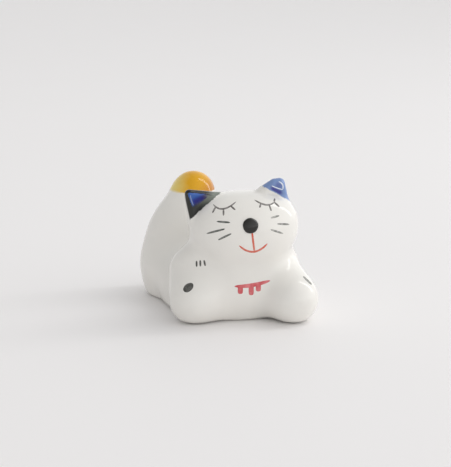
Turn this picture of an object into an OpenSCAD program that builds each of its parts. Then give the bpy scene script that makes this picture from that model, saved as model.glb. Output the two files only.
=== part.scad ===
// A chopstick rest in the shape of a cat lying on its belly.
// Glazed porcelain: luted body, head, forelegs, ears and tail, with painted marks.
// The cat faces -Y, its left side is +X, and it stands on its flat foot at z = 0.

/* [Whole cat] */
// Width that spaces the masses from side to side
cat_w = 40; // [34:0.5:48]
// Length that spaces the masses from the face to the tail
cat_l = 50; // [44:0.5:58]
// Height that spaces the masses above the foot
cat_h = 32; // [28:0.5:38]

/* [Belly] */
// Width of the belly
belly_w = 29; // [24:0.5:34]
// Length of the belly
belly_l = 36; // [30:0.5:42]
// Height of the belly
belly_h = 19; // [16:0.5:22]

/* [Flank] */
// Width of the right flank, low on the side between the rump and the foreleg
flank_w = 21; // [17:0.5:25]
// Length of the flank
flank_l = 28; // [23:0.5:33]
// Height of the flank
flank_h = 11; // [8:0.5:14]
// Squareness of the flank, 2 is an ellipsoid
flank_square = 2.5; // [2:0.1:3]

/* [Rump] */
// Width of the rump
rump_w = 28.8; // [24:0.2:34]
// Length of the rump
rump_l = 25; // [21:0.5:29]
// Height of the rump
rump_h = 14.2; // [11:0.2:18]
// Squareness of the rump, 2 is an ellipsoid
rump_square = 2.2; // [2:0.1:3]
// Width of the back where it rises to the tail
rise_w = 23; // [19:0.5:27]
// Length of the back where it rises to the tail
rise_l = 17; // [14:0.5:20]
// Height of the back where it rises to the tail
rise_h = 37.6; // [33:0.2:42]

/* [Tail] */
// Radius of the tail at its root
tail_root_r = 7.8; // [6:0.1:9]
// Radius of the tail near its tip
tail_tip_r = 5.8; // [4.5:0.1:7]

/* [Chest] */
// Width of the chest
chest_w = 22.4; // [18:0.2:27]
// Length of the chest
chest_l = 17.6; // [14:0.2:21]
// Height of the chest
chest_h = 25; // [21:0.5:29]
// Squareness of the chest, 2 is an ellipsoid
chest_square = 2.2; // [2:0.1:3]
// Width of the breast between the forelegs
breast_w = 29; // [24:0.5:33]
// Length of the breast
breast_l = 17.6; // [14:0.2:21]
// Height of the breast
breast_h = 14; // [11:0.5:17]

/* [Head] */
// Width of the head
head_w = 27.6; // [24:0.2:32]
// Length of the head from the face to the nape
head_l = 19.6; // [17:0.2:23]
// Height of the head
head_h = 17; // [15:0.2:20]
// Squareness of the head, 2 is an ellipsoid
head_square = 2.4; // [2:0.1:3]
// Width of the muzzle
muzzle_w = 16; // [12:0.5:20]
// Length of the muzzle
muzzle_l = 10; // [8:0.5:12]
// Height of the muzzle
muzzle_h = 11; // [9:0.5:14]

/* [Forelegs] */
// Radius of the right shoulder
right_shoulder_r = 5.6; // [4.5:0.1:6.5]
// Radius of the right paw
right_paw_r = 6.5; // [5.5:0.1:7.2]
// Radius of the left shoulder
left_shoulder_r = 3.5; // [2.8:0.1:5]
// Radius of the left paw
left_paw_r = 6.5; // [5.5:0.1:7.2]

/* [Ears] */
// Radius of the rounded tip of an ear
ear_r = 1.1; // [0.9:0.05:1.5]
// Radius of the rounded foot of an ear
ear_foot_r = 2; // [1.6:0.1:2.6]

/* [Modelling] */
// Width over which the masses of the body run together
body_blend = 4.5; // [3:0.1:6]
// Width over which the chest and the head run together
neck_blend = 5.5; // [4:0.1:7]
// Width over which a foreleg runs into the body
leg_blend = 5; // [3.5:0.1:6]
// Width over which the muzzle runs into the face
muzzle_blend = 3; // [2:0.1:4]
// Width of the rounding where the sides meet the foot
foot_blend = 1.6; // [1:0.1:2.4]
// Depth to which the rounding runs on below the cut of the foot
foot_drop = 0.25; // [0.1:0.05:0.5]
// Thickness of the cast wall of the body
wall = 3; // [2.5:0.1:4]
// Radius of the vent hole in the foot
vent_r = 1.6; // [1.2:0.1:2.2]

/* [Glaze and paint] */
// Thickness of the coloured glazes
glaze_t = 0.35; // [0.25:0.05:0.5]
// Height at which the amber glaze on the tail ends
amber_z = 27.2; // [26.6:0.1:29]
// Thickness of a painted line at its middle
line_t = 0.22; // [0.15:0.01:0.3]
// Width of a painted line
line_w = 0.42; // [0.3:0.02:0.6]
// Radius of the nose
nose_r = 1.9; // [1.5:0.05:2.4]
// Thickness of the nose at its middle
nose_t = 0.5; // [0.3:0.05:0.7]
// Width of the bib's band
bib_w = 1; // [0.6:0.05:1.3]
// Half length of the spot on the right foreleg
spot_long_r = 1.45; // [1:0.05:1.8]
// Half width of the spot on the right foreleg
spot_short_r = 0.95; // [0.6:0.05:1.2]

/* [Hidden] */

// Places of the masses, as shares of the cat's width, length and height
belly_share = [-0.0375, 0.08, 0.25];
flank_share = [-0.18, 0.14, 0.1];
rump_share = [-0.1425, 0.29, 0.26];
rise_share = [-0.23, 0.37, 0.266];
tail_root_share = [-0.175, 0.39, 0.53];
tail_tip_share = [-0.155, 0.42, 0.831];
chest_share = [0, -0.144, 0.36];
breast_share = [0, -0.074, 0.11];
head_share = [0, -0.168, 0.744];
muzzle_share = [0.005, -0.26, 0.703];
right_shoulder_share = [-0.32, -0.12, 0.39];
right_paw_share = [-0.325, -0.206, 0.181];
left_shoulder_share = [0.28, -0.12, 0.4];
left_paw_share = [0.2725, -0.312, 0.181];

// Places on the luting planes, and the angles at which the planes stand
neck_share = [0, -0.16, 0.545];
neck_tilt = 9.7;
neck_back_share = 0.25;
right_leg_joint_share = [-0.2875, -0.16, 0.25];
right_leg_turn = 31;
left_leg_joint_share = [0.2475, -0.164, 0.25];
left_leg_turn = 30;
leg_back_share = 0.26;
tail_joint_share = [-0.2, 0.38, 0.72];
front_core_share = [0, -0.05, 0.25];
rear_core_share = [-0.15, 0.29, 0.28];
hollow_core_share = [-0.0625, 0.1, 0.25];
waist_share = 0.13;
vent_share = [-0.0625, 0.16, 0];

// Tip, inner and outer corner of each ear from the middle of the head, as shares of half its sizes;
// the left ear also has a rounded shoulder between its tip and its inner corner
right_ear_share = [[-1.034, -0.163, 1.038], [-0.483, -0.041, 0.876], [-0.96, -0.122, 0.219]];
left_ear_share = [[0.639, -0.184, 1.229], [0.36, -0.122, 0.98], [0.744, -0.122, 0.584],
    [0.545, -0.172, 1.215]];
// Reach of the coloured glazes down the ears from their tips
right_glaze_share = 0.82;
left_glaze_share = 0.6;
// Reach of the blue pool in the right ear along the edges from its tip
blue_edge_share = 0.02;
blue_inner_share = 0.6;
blue_outer_share = 0.46;

// The brush looks at the cat from this side and this far above
brush_turn = 14;
brush_tilt = 13;

// Painted marks on the brush's plane from the middle of the head, as shares of half its width
nose_share = [0.117, -0.027];
right_lid_share = [[-0.547, 0.358], [-0.368, 0.272], [-0.135, 0.405]];
right_lash_share = [[[-0.5, 0.31], [-0.559, 0.201]], [[-0.36, 0.275], [-0.362, 0.151]],
    [[-0.235, 0.326], [-0.15, 0.252]]];
left_lid_share = [[0.189, 0.44], [0.397, 0.348], [0.553, 0.4]];
left_lash_share = [[[0.308, 0.378], [0.283, 0.293]], [[0.455, 0.352], [0.491, 0.235]],
    [[0.551, 0.395], [0.641, 0.31]], [[0.547, 0.4], [0.56, 0.467]]];
right_whisker_share = [[[-0.245, 0.03], [-0.482, 0.048]], [[-0.335, -0.083], [-0.664, -0.167]],
    [[-0.222, -0.167], [-0.459, -0.28]]];
left_whisker_share = [[[0.48, 0.112], [0.637, 0.155]], [[0.598, 0.008], [0.823, -0.001]],
    [[0.475, -0.094], [0.709, -0.167]]];
mouth_line_share = [[0.145, -0.145], [0.187, -0.48]];
mouth_curve_share = [[-0.085, -0.378], [0.172, -0.491], [0.422, -0.343]];

// The bib from the middle of the chest, as shares of half its width
bib_share = [[-0.177, -0.326], [0.212, -0.304], [0.619, -0.201]];
bib_drip_share = [[[-0.046, -0.33], [-0.048, -0.5]], [[0.194, -0.32], [0.195, -0.53]],
    [[0.355, -0.29], [0.352, -0.445]]];
// The marks on the legs from their shoulder or paw, as shares of its radius
leg_stripe_share = [[[0.237, 0.385], [0.238, 0.116]], [[0.397, 0.417], [0.406, 0.134]],
    [[0.566, 0.418], [0.624, 0.152]]];
spot_share = [-0.236, 0.468];
spot_turn = 38;
left_stripe_share = [[0.39, 0.86], [0.721, 0.539]];

// Width of a stroke's ends as a share of its middle
end_share = 0.5;
// Widths of a drip and of a leg stripe as shares of the line they belong to
drip_w_share = 1.3;
stripe_w_share = 1.2;

// Steps of the search for the surface, and counts of the facets
march_steps = 12;
far_steps = 14;
tiny = 0.000001;
body_sides = 52;
body_rings = 26;
head_sides = 52;
head_rings = 17;
leg_sides = 44;
leg_rings = 18;
tail_sides = 40;
tail_rings = 8;
glaze_rings = 7;
core_sides = 28;
core_rings = 12;
stroke_steps = 8;
dab_sides = 24;
dab_rings = 4;
ball_fn = 24;

half = 1 / 2;
cat = [cat_w, cat_l, cat_h];
head_half = [head_w, head_l, head_h] * half;
cut = cat_l + cat_w;
brush_start = head_w + cat_l * half;

function place(share) = [share.x * cat.x, share.y * cat.y, share.z * cat.z];

belly_at = place(belly_share);
flank_at = place(flank_share);
rump_at = place(rump_share);
rise_at = place(rise_share);
tail_root_at = place(tail_root_share);
tail_tip_at = place(tail_tip_share);
chest_at = place(chest_share);
breast_at = place(breast_share);
head_at = place(head_share);
muzzle_at = place(muzzle_share);
right_shoulder_at = place(right_shoulder_share);
right_paw_at = place(right_paw_share);
left_shoulder_at = place(left_shoulder_share);
left_paw_at = place(left_paw_share);
neck_at = place(neck_share);
right_leg_joint_at = place(right_leg_joint_share);
left_leg_joint_at = place(left_leg_joint_share);
tail_joint_at = place(tail_joint_share);
front_core_at = place(front_core_share);
rear_core_at = place(rear_core_share);
hollow_core_at = place(hollow_core_share);
waist_y = waist_share * cat_l;
vent_at = place(vent_share);
amber_at = [tail_tip_at.x, tail_tip_at.y, amber_z];

// Directions across, along and out of each luting plane
neck_axes = [[1, 0, 0], [0, cos(neck_tilt), sin(neck_tilt)], [0, -sin(neck_tilt), cos(neck_tilt)]];
right_leg_axes = [[-sin(right_leg_turn), cos(right_leg_turn), 0], [0, 0, -1],
    [-cos(right_leg_turn), -sin(right_leg_turn), 0]];
left_leg_axes = [[sin(left_leg_turn), cos(left_leg_turn), 0], [0, 0, 1],
    [cos(left_leg_turn), -sin(left_leg_turn), 0]];
level_axes = [[1, 0, 0], [0, 1, 0], [0, 0, 1]];

// Directions to the right of the brush's view, upwards in it, and away from the brush
brush_right = [cos(brush_turn), -sin(brush_turn), 0];
brush_up = [sin(brush_turn) * sin(brush_tilt), cos(brush_turn) * sin(brush_tilt), cos(brush_tilt)];
brush_away = [sin(brush_turn) * cos(brush_tilt), cos(brush_turn) * cos(brush_tilt), -sin(brush_tilt)];

// Distance to a rounded mass, near its surface, less than zero inside
function mass(p, at, w, l, h, square) =
    let(
        q = [abs(p.x - at.x) / w * 2, abs(p.y - at.y) / l * 2, abs(p.z - at.z) / h * 2],
        s = max(pow(pow(q.x, square) + pow(q.y, square) + pow(q.z, square), 1 / square), tiny),
        g = [pow(q.x / s, square - 1) / w, pow(q.y / s, square - 1) / l, pow(q.z / s, square - 1) / h]
    )
    (s - 1) / norm(g) * half;

// Distance to a limb that changes its radius from one end to the other
function limb(p, a, b, a_r, b_r) =
    let(
        along = b - a,
        t = min(max((p - a) * along / (along * along), 0), 1)
    )
    norm(p - a - t * along) - a_r - (b_r - a_r) * t * t * (3 - 2 * t);

// Runs two distances together over a width
function merge(a, b, width) =
    let(h = max(width - abs(a - b), 0) / width) min(a, b) - h * h * width / 4;

// Distance to the whole cat without its ears
function form(p) =
    let(
        haunch = merge(mass(p, belly_at, belly_w, belly_l, belly_h, 2),
            mass(p, rump_at, rump_w, rump_l, rump_h, rump_square), body_blend),
        side = merge(haunch, mass(p, flank_at, flank_w, flank_l, flank_h, flank_square), body_blend),
        back = merge(side, mass(p, rise_at, rise_w, rise_l, rise_h, 2), body_blend),
        rear = merge(back, limb(p, tail_root_at, tail_tip_at, tail_root_r, tail_tip_r), body_blend),
        neck = merge(mass(p, chest_at, chest_w, chest_l, chest_h, chest_square),
            mass(p, head_at, head_w, head_l, head_h, head_square), neck_blend),
        face = merge(neck, mass(p, muzzle_at, muzzle_w, muzzle_l, muzzle_h, 2), muzzle_blend),
        front = merge(face, mass(p, breast_at, breast_w, breast_l, breast_h, 2), body_blend),
        trunk = merge(rear, front, body_blend),
        one_leg = merge(trunk,
            limb(p, right_shoulder_at, right_paw_at, right_shoulder_r, right_paw_r), leg_blend),
        both = merge(one_leg,
            limb(p, left_shoulder_at, left_paw_at, left_shoulder_r, left_paw_r), leg_blend)
    )
    -merge(-both, p.z + foot_drop, foot_blend);

// Distance to the hollow of the body, which stays a wall away from the foot and every luting plane
function hollow(p) = max(
    form(p),
    (p - neck_at) * neck_axes[2],
    (p - right_leg_joint_at) * right_leg_axes[2],
    (p - left_leg_joint_at) * left_leg_axes[2],
    p.z - tail_joint_at.z,
    -p.z) + wall;

// Walks from a start point along a direction to the surface; side is 1 from outside, -1 from inside
function walk(shape, start, dir, side, r, steps) =
    steps == 0 ? r : walk(shape, start, dir, side, r + side * shape(start + r * dir), steps - 1);

// Corrects a distance once by the line through two trials, within a few times what it was out by
function settle(shape, start, dir, side, r) =
    let(
        first = shape(start + r * dir),
        step = side * first,
        second = shape(start + (r + step) * dir),
        reach = abs(first) * 4
    )
    abs(second - first) < tiny ? r : r - min(max(first * step / (second - first), -reach), reach);

function meet(shape, start, dir, side, steps) =
    let(
        near = walk(shape, start, dir, side, 0, steps),
        nearer = settle(shape, start, dir, side, near)
    )
    start + settle(shape, start, dir, side, nearer) * dir;

// Direction at an angle from a plane and round its normal
function aim(axes, rise, round) =
    cos(rise) * (cos(round) * axes[0] + sin(round) * axes[1]) + sin(rise) * axes[2];

// Rings of surface points round a start point, between two angles of rise
function rings(shape, start, axes, low, high, count, sides) =
    [for (i = [0 : count - 1]) let(rise = low + (high - low) * i / count)
        [for (j = [0 : sides - 1]) meet(shape, start, aim(axes, rise, 360 * j / sides), -1, march_steps)]];

function backwards(list) = [for (i = [1 : len(list)]) list[len(list) - i]];

// Closed skin from a first point over rings of points to a last point
module skin(first, bands, last) {
    m = len(bands[0]);
    n = len(bands);
    points = [first, each [for (band = bands) each band], last];
    faces = [
        for (j = [0 : m - 1]) [1 + j, 1 + (j + 1) % m, 0],
        for (i = [0 : n - 2], j = [0 : m - 1])
            let(a = 1 + i * m + j, b = 1 + i * m + (j + 1) % m) each [[a, a + m, b + m], [a, b + m, b]],
        for (j = [0 : m - 1]) let(top = 1 + (n - 1) * m) [top + j, n * m + 1, top + (j + 1) % m]
    ];
    polyhedron(points = points, faces = faces, convexity = 4);
}

// Piece that stands out of a luting plane, with a flat joint face
module lobe(start, axes, count, sides) {
    shape = function(p) form(p);
    skin(start, rings(shape, start, axes, 0, 90, count, sides), meet(shape, start, axes[2], -1, march_steps));
}

// Closed skin all round a start point
module orb(shape, start, count, sides) {
    step = 180 / (count + 1);
    skin(
        meet(shape, start, -level_axes[2], -1, march_steps),
        rings(shape, start, level_axes, step - 90, 90, count, sides),
        meet(shape, start, level_axes[2], -1, march_steps));
}

// Puts its children on a plane, with their Z along the plane's normal
module on_plane(at, axes) {
    multmatrix([
        [axes[0].x, axes[1].x, axes[2].x, at.x],
        [axes[0].y, axes[1].y, axes[2].y, at.y],
        [axes[0].z, axes[1].z, axes[2].z, at.z],
        [0, 0, 0, 1]])
        children();
}

// Everything above the neck's luting plane, as far back as the saddle
module above_neck() {
    on_plane(neck_at, neck_axes)
        translate([-cut, -cut, 0]) cube([cut * 2, cut + neck_back_share * cat_l, cut]);
}

// Everything outside a foreleg's luting plane, as far back as the shoulder
module outside_leg(at, axes) {
    reach = leg_back_share * cat_l;
    on_plane(at, [axes[0], cross(axes[2], axes[0]), axes[2]])
        translate([-cut, -cut, 0]) cube([cut + reach, cut * 2, cut]);
}

// Everything above the tail's luting plane
module above_tail() {
    translate([-cut, neck_at.y + neck_back_share * cat_l, tail_joint_at.z]) cube([cut * 2, cut, cut]);
}

// Everything below a height
module below(z) {
    translate([-cut, -cut, z - cut]) cube([cut * 2, cut * 2, cut]);
}

// Skin cast from a core on one side of the waist; its rays meet the back steeply there
module trunk_end(core, side) {
    lap = body_blend * half / 2;
    difference() {
        orb(function(p) form(p), core, body_rings, body_sides);
        translate([-cut, waist_y + side * lap - (side < 0 ? cut * 2 : 0), -cut]) cube(cut * 2);
    }
}

// Solid of the trunk between the luting planes, as one mesh
module trunk() {
    resize([0, 0, 0])
        difference() {
            union() {
                trunk_end(front_core_at, 1);
                trunk_end(rear_core_at, -1);
            }
            above_neck();
            outside_leg(right_leg_joint_at, right_leg_axes);
            outside_leg(left_leg_joint_at, left_leg_axes);
            above_tail();
            below(0);
        }
}

module body() {
    color("#dcd9d4")
        difference() {
            trunk();
            orb(function(p) hollow(p), hollow_core_at, core_rings, core_sides);
            translate([vent_at.x, vent_at.y, -wall]) cylinder(h = wall * 3, r = vent_r, $fn = 40);
        }
}

module head() {
    color("#e4e1dc") head_form();
}

module head_form() {
    lobe(neck_at, neck_axes, head_rings, head_sides);
}

module foreleg(at, axes) {
    difference() {
        lobe(at, axes, leg_rings, leg_sides);
        above_neck();
        below(0);
    }
}

module right_foreleg() {
    color("#d2d2cd") foreleg(right_leg_joint_at, right_leg_axes);
}

module left_foreleg() {
    color("#e0ddd8") foreleg(left_leg_joint_at, left_leg_axes);
}

// Rings of the tail between its joint and the edge of the amber glaze
function tail_bands() =
    [for (i = [0 : tail_rings]) let(start = tail_joint_at + (amber_at - tail_joint_at) * i / tail_rings)
        [for (j = [0 : tail_sides - 1])
            meet(function(p) form(p), start, aim(level_axes, 0, 360 * j / tail_sides), -1, march_steps)]];

// Rings of the tail's tip at a depth under the surface of the glaze
function tip_bands(depth) =
    rings(function(p) form(p) + depth, amber_at, level_axes, 0, 90, glaze_rings, tail_sides);

function tip_end(depth) =
    meet(function(p) form(p) + depth, amber_at, level_axes[2], -1, march_steps);

module tail() {
    color("#d6d3ce") skin(tail_joint_at, concat(tail_bands(), tip_bands(glaze_t)), tip_end(glaze_t));
}

module tail_tip_glaze() {
    color("#d9a023")
        skin(tip_end(glaze_t), concat(backwards(tip_bands(glaze_t)), tip_bands(0)), tip_end(0));
}

// Corners of an ear
function ear_corners(shares) =
    [for (s = shares) head_at + [s.x * head_half.x, s.y * head_half.y, s.z * head_half.z]];

// Directions along an ear's upper edge, across it, and out of its front face
function ear_axes(c) =
    let(
        along = (c[1] - c[0]) / norm(c[1] - c[0]),
        flat = cross(c[1] - c[0], c[2] - c[0]),
        out = (flat.y < 0 ? flat : -flat) / norm(flat)
    )
    [along, cross(out, along), out];

// Direction in an ear's plane that leaves an edge at right angles, towards another edge
function across(edge, other) =
    let(rest = other - edge * (edge * other) / (edge * edge)) rest / norm(rest);

// Foot corners of an ear, moved in from the edges that run down from its tip
function ear_feet(c, inset) =
    let(
        inner = c[1] - c[0],
        outer = c[2] - c[0]
    )
    [c[1] + across(inner, outer) * inset, c[2] + across(outer, inner) * inset];

// The corners lie in the middle of a plate as thick as the tip, and the foot swells back and in
module ear(shares) {
    c = ear_corners(shares);
    swell = ear_foot_r - ear_r;
    difference() {
        hull() {
            for (i = [0 : len(c) - 1])
                if (i == 0 || i > 2) translate(c[i]) sphere(r = ear_r, $fn = ball_fn);
            for (foot = ear_feet(c, swell))
                translate(foot - ear_axes(c)[2] * swell) sphere(r = ear_foot_r, $fn = ball_fn);
        }
        head_form();
    }
}

// Outline round three corners on an ear's plane, with a round tip and pointed feet
module ear_outline(c, corners, edge_r) {
    axes = ear_axes(c);
    foot_r = ear_r / 4;
    tip = corners[0] - c[0];
    hull() {
        translate([tip * axes[0], tip * axes[1]]) circle(r = edge_r, $fn = ball_fn);
        for (foot = ear_feet(corners, foot_r - edge_r))
            translate([(foot - c[0]) * axes[0], (foot - c[0]) * axes[1]]) circle(r = foot_r, $fn = ball_fn);
    }
}

// Lays an outline on an ear's front face as thick as the glaze
module ear_layer(c) {
    axes = ear_axes(c);
    on_plane(c[0] + axes[2] * ear_r, axes) linear_extrude(glaze_t) children();
}

// Corners of the glaze that runs down an ear by a share
function glaze_corners(c, share) = [c[0], c[0] + (c[1] - c[0]) * share, c[0] + (c[2] - c[0]) * share];

// Corners of the blue pool in an ear
function pool_corners(c) =
    let(
        inner = c[1] - c[0],
        outer = c[2] - c[0]
    )
    [c[0] + (inner + outer) * blue_edge_share, c[0] + inner * blue_inner_share + outer * blue_edge_share,
        c[0] + outer * blue_outer_share + inner * blue_edge_share];

module right_ear() {
    color("#d2d2cd") ear(right_ear_share);
}

module left_ear() {
    color("#dfe0e2") ear(left_ear_share);
}

module right_ear_pool(c) {
    ear_outline(c, pool_corners(c), ear_r / 3);
}

module right_ear_rim_glaze() {
    c = ear_corners(right_ear_share);
    color("#43423f")
        difference() {
            ear_layer(c)
                difference() {
                    ear_outline(c, glaze_corners(c, right_glaze_share), ear_r * 3 / 4);
                    right_ear_pool(c);
                }
            head_form();
        }
}

module right_ear_blue_glaze() {
    c = ear_corners(right_ear_share);
    color("#1c3f92") ear_layer(c) right_ear_pool(c);
}

module left_ear_blue_glaze() {
    c = ear_corners(left_ear_share);
    color("#5f7fbe")
        difference() {
            ear_layer(c) ear_outline(c, glaze_corners(c, left_glaze_share), ear_r * 3 / 4);
            head_form();
        }
}

// What carries the marks: a middle and the radius that their shares follow
face_seat = [head_at, head_half.x];
chest_seat = [chest_at, chest_w * half];
right_shoulder_seat = [right_shoulder_at, right_shoulder_r];
right_paw_seat = [right_paw_at, right_paw_r];
left_paw_seat = [left_paw_at, left_paw_r];

// Point on the surface under a place on the brush's plane through a seat's middle
function touch(seat, place) =
    let(
        over = seat[0] + (place.x * brush_right + place.y * brush_up) * seat[1] - brush_away * brush_start
    )
    meet(function(p) form(p), over, brush_away, 1, far_steps);

// Point of a curve through three places
function bend(path, t) =
    len(path) == 2 ? path[0] * (1 - t) + path[1] * t
    : let(pull = path[1] * 2 - (path[0] + path[2]) * half)
        path[0] * (1 - t) * (1 - t) + pull * 2 * t * (1 - t) + path[2] * t * t;

function middle(ring) = (ring[0] + ring[1] + ring[2]) / len(ring);

// One stroke of the brush on a seat: a low ridge along a path
module stroke(seat, path, width) {
    bands = [for (i = [0 : stroke_steps])
        let(
            t = i / stroke_steps,
            here = bend(path, t),
            ahead = bend(path, t + 1 / stroke_steps) - bend(path, t - 1 / stroke_steps),
            side = [-ahead.y, ahead.x] / norm(ahead),
            full = end_share + (1 - end_share) * sqrt(abs(sin(180 * t))),
            reach = side * full * width * half / seat[1]
        )
        [touch(seat, here + reach), touch(seat, here) - brush_away * line_t * full,
            touch(seat, here - reach)]];
    skin(middle(bands[0]), bands, middle(bands[stroke_steps]));
}

// One dab of the brush on a seat: a low dome with two half sizes
module dab(seat, at, long_r, short_r, turn, height) {
    spot = function(share, round, raise)
        let(
            local = [cos(round) * long_r, sin(round) * short_r] * share / seat[1],
            turned = [local.x * cos(turn) - local.y * sin(turn), local.x * sin(turn) + local.y * cos(turn)]
        )
        touch(seat, at + turned) - brush_away * raise;
    under = [for (i = [1 : dab_rings])
        [for (j = [0 : dab_sides - 1]) spot(i / dab_rings, 360 * j / dab_sides, 0)]];
    over = [for (i = [1 : dab_rings]) let(angle = 90 * i / dab_rings)
        [for (j = [0 : dab_sides - 1])
            spot(cos(angle - 90 / dab_rings * half), 360 * j / dab_sides, height * sin(angle))]];
    skin(spot(0, 0, 0), concat(under, over), spot(0, 0, height));
}

module nose() {
    color("#32312d") dab(face_seat, nose_share, nose_r, nose_r, 0, nose_t);
}

module eyelid(lid, lashes) {
    color("#5b5956") {
        stroke(face_seat, lid, line_w);
        for (lash = lashes) stroke(face_seat, lash, line_w);
    }
}

module right_eyelid() {
    eyelid(right_lid_share, right_lash_share);
}

module left_eyelid() {
    eyelid(left_lid_share, left_lash_share);
}

module whisker(path) {
    color("#555b55") stroke(face_seat, path, line_w);
}

module right_whisker_upper() {
    whisker(right_whisker_share[0]);
}

module right_whisker_middle() {
    whisker(right_whisker_share[1]);
}

module right_whisker_lower() {
    whisker(right_whisker_share[2]);
}

module left_whisker_upper() {
    whisker(left_whisker_share[0]);
}

module left_whisker_middle() {
    whisker(left_whisker_share[1]);
}

module left_whisker_lower() {
    whisker(left_whisker_share[2]);
}

module mouth() {
    color("#d4604f") {
        stroke(face_seat, mouth_curve_share, line_w);
        stroke(face_seat, mouth_line_share, line_w);
    }
}

module bib() {
    color("#cf6164") {
        stroke(chest_seat, bib_share, bib_w);
        for (drip = bib_drip_share) stroke(chest_seat, drip, bib_w * drip_w_share);
    }
}

module right_leg_stripes() {
    color("#4c4b47")
        for (path = leg_stripe_share) stroke(right_shoulder_seat, path, line_w * stripe_w_share);
}

module right_leg_spot() {
    color("#4a4a44") dab(right_paw_seat, spot_share, spot_long_r, spot_short_r, spot_turn, line_t);
}

module left_leg_stripe() {
    color("#8b8984") stroke(left_paw_seat, left_stripe_share, line_w);
}

body();
head();
right_foreleg();
left_foreleg();
tail();
right_ear();
left_ear();
tail_tip_glaze();
right_ear_rim_glaze();
right_ear_blue_glaze();
left_ear_blue_glaze();
nose();
right_eyelid();
left_eyelid();
mouth();
right_whisker_upper();
right_whisker_middle();
right_whisker_lower();
left_whisker_upper();
left_whisker_middle();
left_whisker_lower();
bib();
right_leg_stripes();
right_leg_spot();
left_leg_stripe();
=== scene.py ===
"""Dresses a packed chopstick rest: a porcelain cat lying on its belly, glazed and painted by hand.

The shapes are worked out in millimetres and the meshes are made in metres, in the frame of the part:
the cat faces -Y, its left side is +X, and it stands on its foot at z = 0.
"""

import math

import bmesh
import bpy
import numpy as np
from bpy.props import FloatProperty, FloatVectorProperty, PointerProperty
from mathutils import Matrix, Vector


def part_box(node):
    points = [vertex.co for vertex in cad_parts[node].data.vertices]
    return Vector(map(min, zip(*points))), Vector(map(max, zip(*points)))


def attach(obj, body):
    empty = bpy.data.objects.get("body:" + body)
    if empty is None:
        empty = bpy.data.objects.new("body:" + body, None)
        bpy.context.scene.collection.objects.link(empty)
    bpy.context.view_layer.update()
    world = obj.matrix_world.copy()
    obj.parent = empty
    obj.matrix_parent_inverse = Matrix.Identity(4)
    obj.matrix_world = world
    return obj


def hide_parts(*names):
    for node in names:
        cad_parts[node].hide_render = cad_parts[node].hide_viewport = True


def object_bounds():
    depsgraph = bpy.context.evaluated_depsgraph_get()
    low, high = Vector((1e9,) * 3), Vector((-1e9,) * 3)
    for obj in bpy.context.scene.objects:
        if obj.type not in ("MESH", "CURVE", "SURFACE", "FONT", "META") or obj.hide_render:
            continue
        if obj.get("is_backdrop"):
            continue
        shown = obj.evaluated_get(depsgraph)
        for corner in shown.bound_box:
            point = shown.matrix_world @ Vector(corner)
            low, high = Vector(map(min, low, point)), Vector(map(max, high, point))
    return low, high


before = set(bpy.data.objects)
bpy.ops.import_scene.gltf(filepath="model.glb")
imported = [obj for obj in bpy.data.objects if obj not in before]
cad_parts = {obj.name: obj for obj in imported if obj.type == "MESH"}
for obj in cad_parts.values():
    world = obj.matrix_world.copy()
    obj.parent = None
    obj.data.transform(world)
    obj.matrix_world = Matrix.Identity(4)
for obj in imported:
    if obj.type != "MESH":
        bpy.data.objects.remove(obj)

bl_info = {
    "name": "Cat Chopstick Rest",
    "version": (1, 0, 0),
    "blender": (4, 5, 0),
    "location": "View3D > Sidebar > Chopstick Rest",
    "description": "Glazed porcelain chopstick rest in the shape of a lying cat",
    "category": "Object",
}

MM = 0.001
UP = np.array([0, 0, 1.0])
BODY = "root"


def linear(hex_colour):
    """Linear colour with full opacity from an sRGB hex value"""
    parts = [int(hex_colour[i:i + 2], 16) / 255 for i in (1, 3, 5)]
    return [c / 12.92 if c <= 0.04045 else ((c + 0.055) / 1.055) ** 2.4 for c in parts] + [1.0]


def size_property(name, description, mm):
    """Length property whose default is given in millimetres"""
    return FloatProperty(name=name, description=description, default=mm * MM, unit="LENGTH")


def colour_property(name, description, hex_colour):
    """Colour property whose default is given as an sRGB hex value"""
    return FloatVectorProperty(name=name, description=description, default=linear(hex_colour),
                               size=4, min=0, max=1, subtype="COLOR")


def sides_property(name, description, default):
    """Three lengths or shares to the right, behind and above, as the camera stands"""
    return FloatVectorProperty(name=name, description=description, default=default, subtype="XYZ")


class CatSizes(bpy.types.PropertyGroup):
    """Sizes of the cast porcelain"""
    width: size_property("Width", "Spaces the masses from side to side", 40)
    length: size_property("Length", "Spaces the masses from the face to the tail", 50)
    height: size_property("Height", "Spaces the masses above the foot", 32)
    body_blend: size_property("Body blend", "Width over which the masses of the body run together", 4.5)
    neck_blend: size_property("Neck blend", "Width over which the chest and the head run together", 5.5)
    leg_blend: size_property("Leg blend", "Width over which a foreleg runs into the body", 5)
    muzzle_blend: size_property("Muzzle blend", "Width over which the muzzle runs into the face", 3)
    foot_blend: size_property("Foot blend", "Width of the rounding where the sides meet the foot", 1.6)
    foot_drop: size_property("Foot drop", "Depth of the rounding below the cut of the foot", 0.25)
    right_ear_tip: size_property("Right ear tip", "Radius of the rounded tip of the right ear", 1.1)
    left_ear_tip: size_property("Left ear tip", "Radius of the rounded tip of the left ear", 1.35)
    ear_foot: size_property("Ear foot", "Radius of the rounded foot of an ear", 2)
    ear_blend: size_property("Ear blend", "Width over which an ear runs into the head", 1.3)
    ear_dish: size_property("Ear dish", "Depth of the dished front of an ear", 0.45)
    wall: size_property("Wall", "Thickness of the cast wall of the body", 3)
    vent: size_property("Vent", "Radius of the vent hole in the foot", 1.6)
    amber_edge: size_property("Amber edge", "Height at which the amber glaze ends", 27.2)
    step: size_property("Skin step", "Spacing of the corners of the skin", 0.45)


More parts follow.
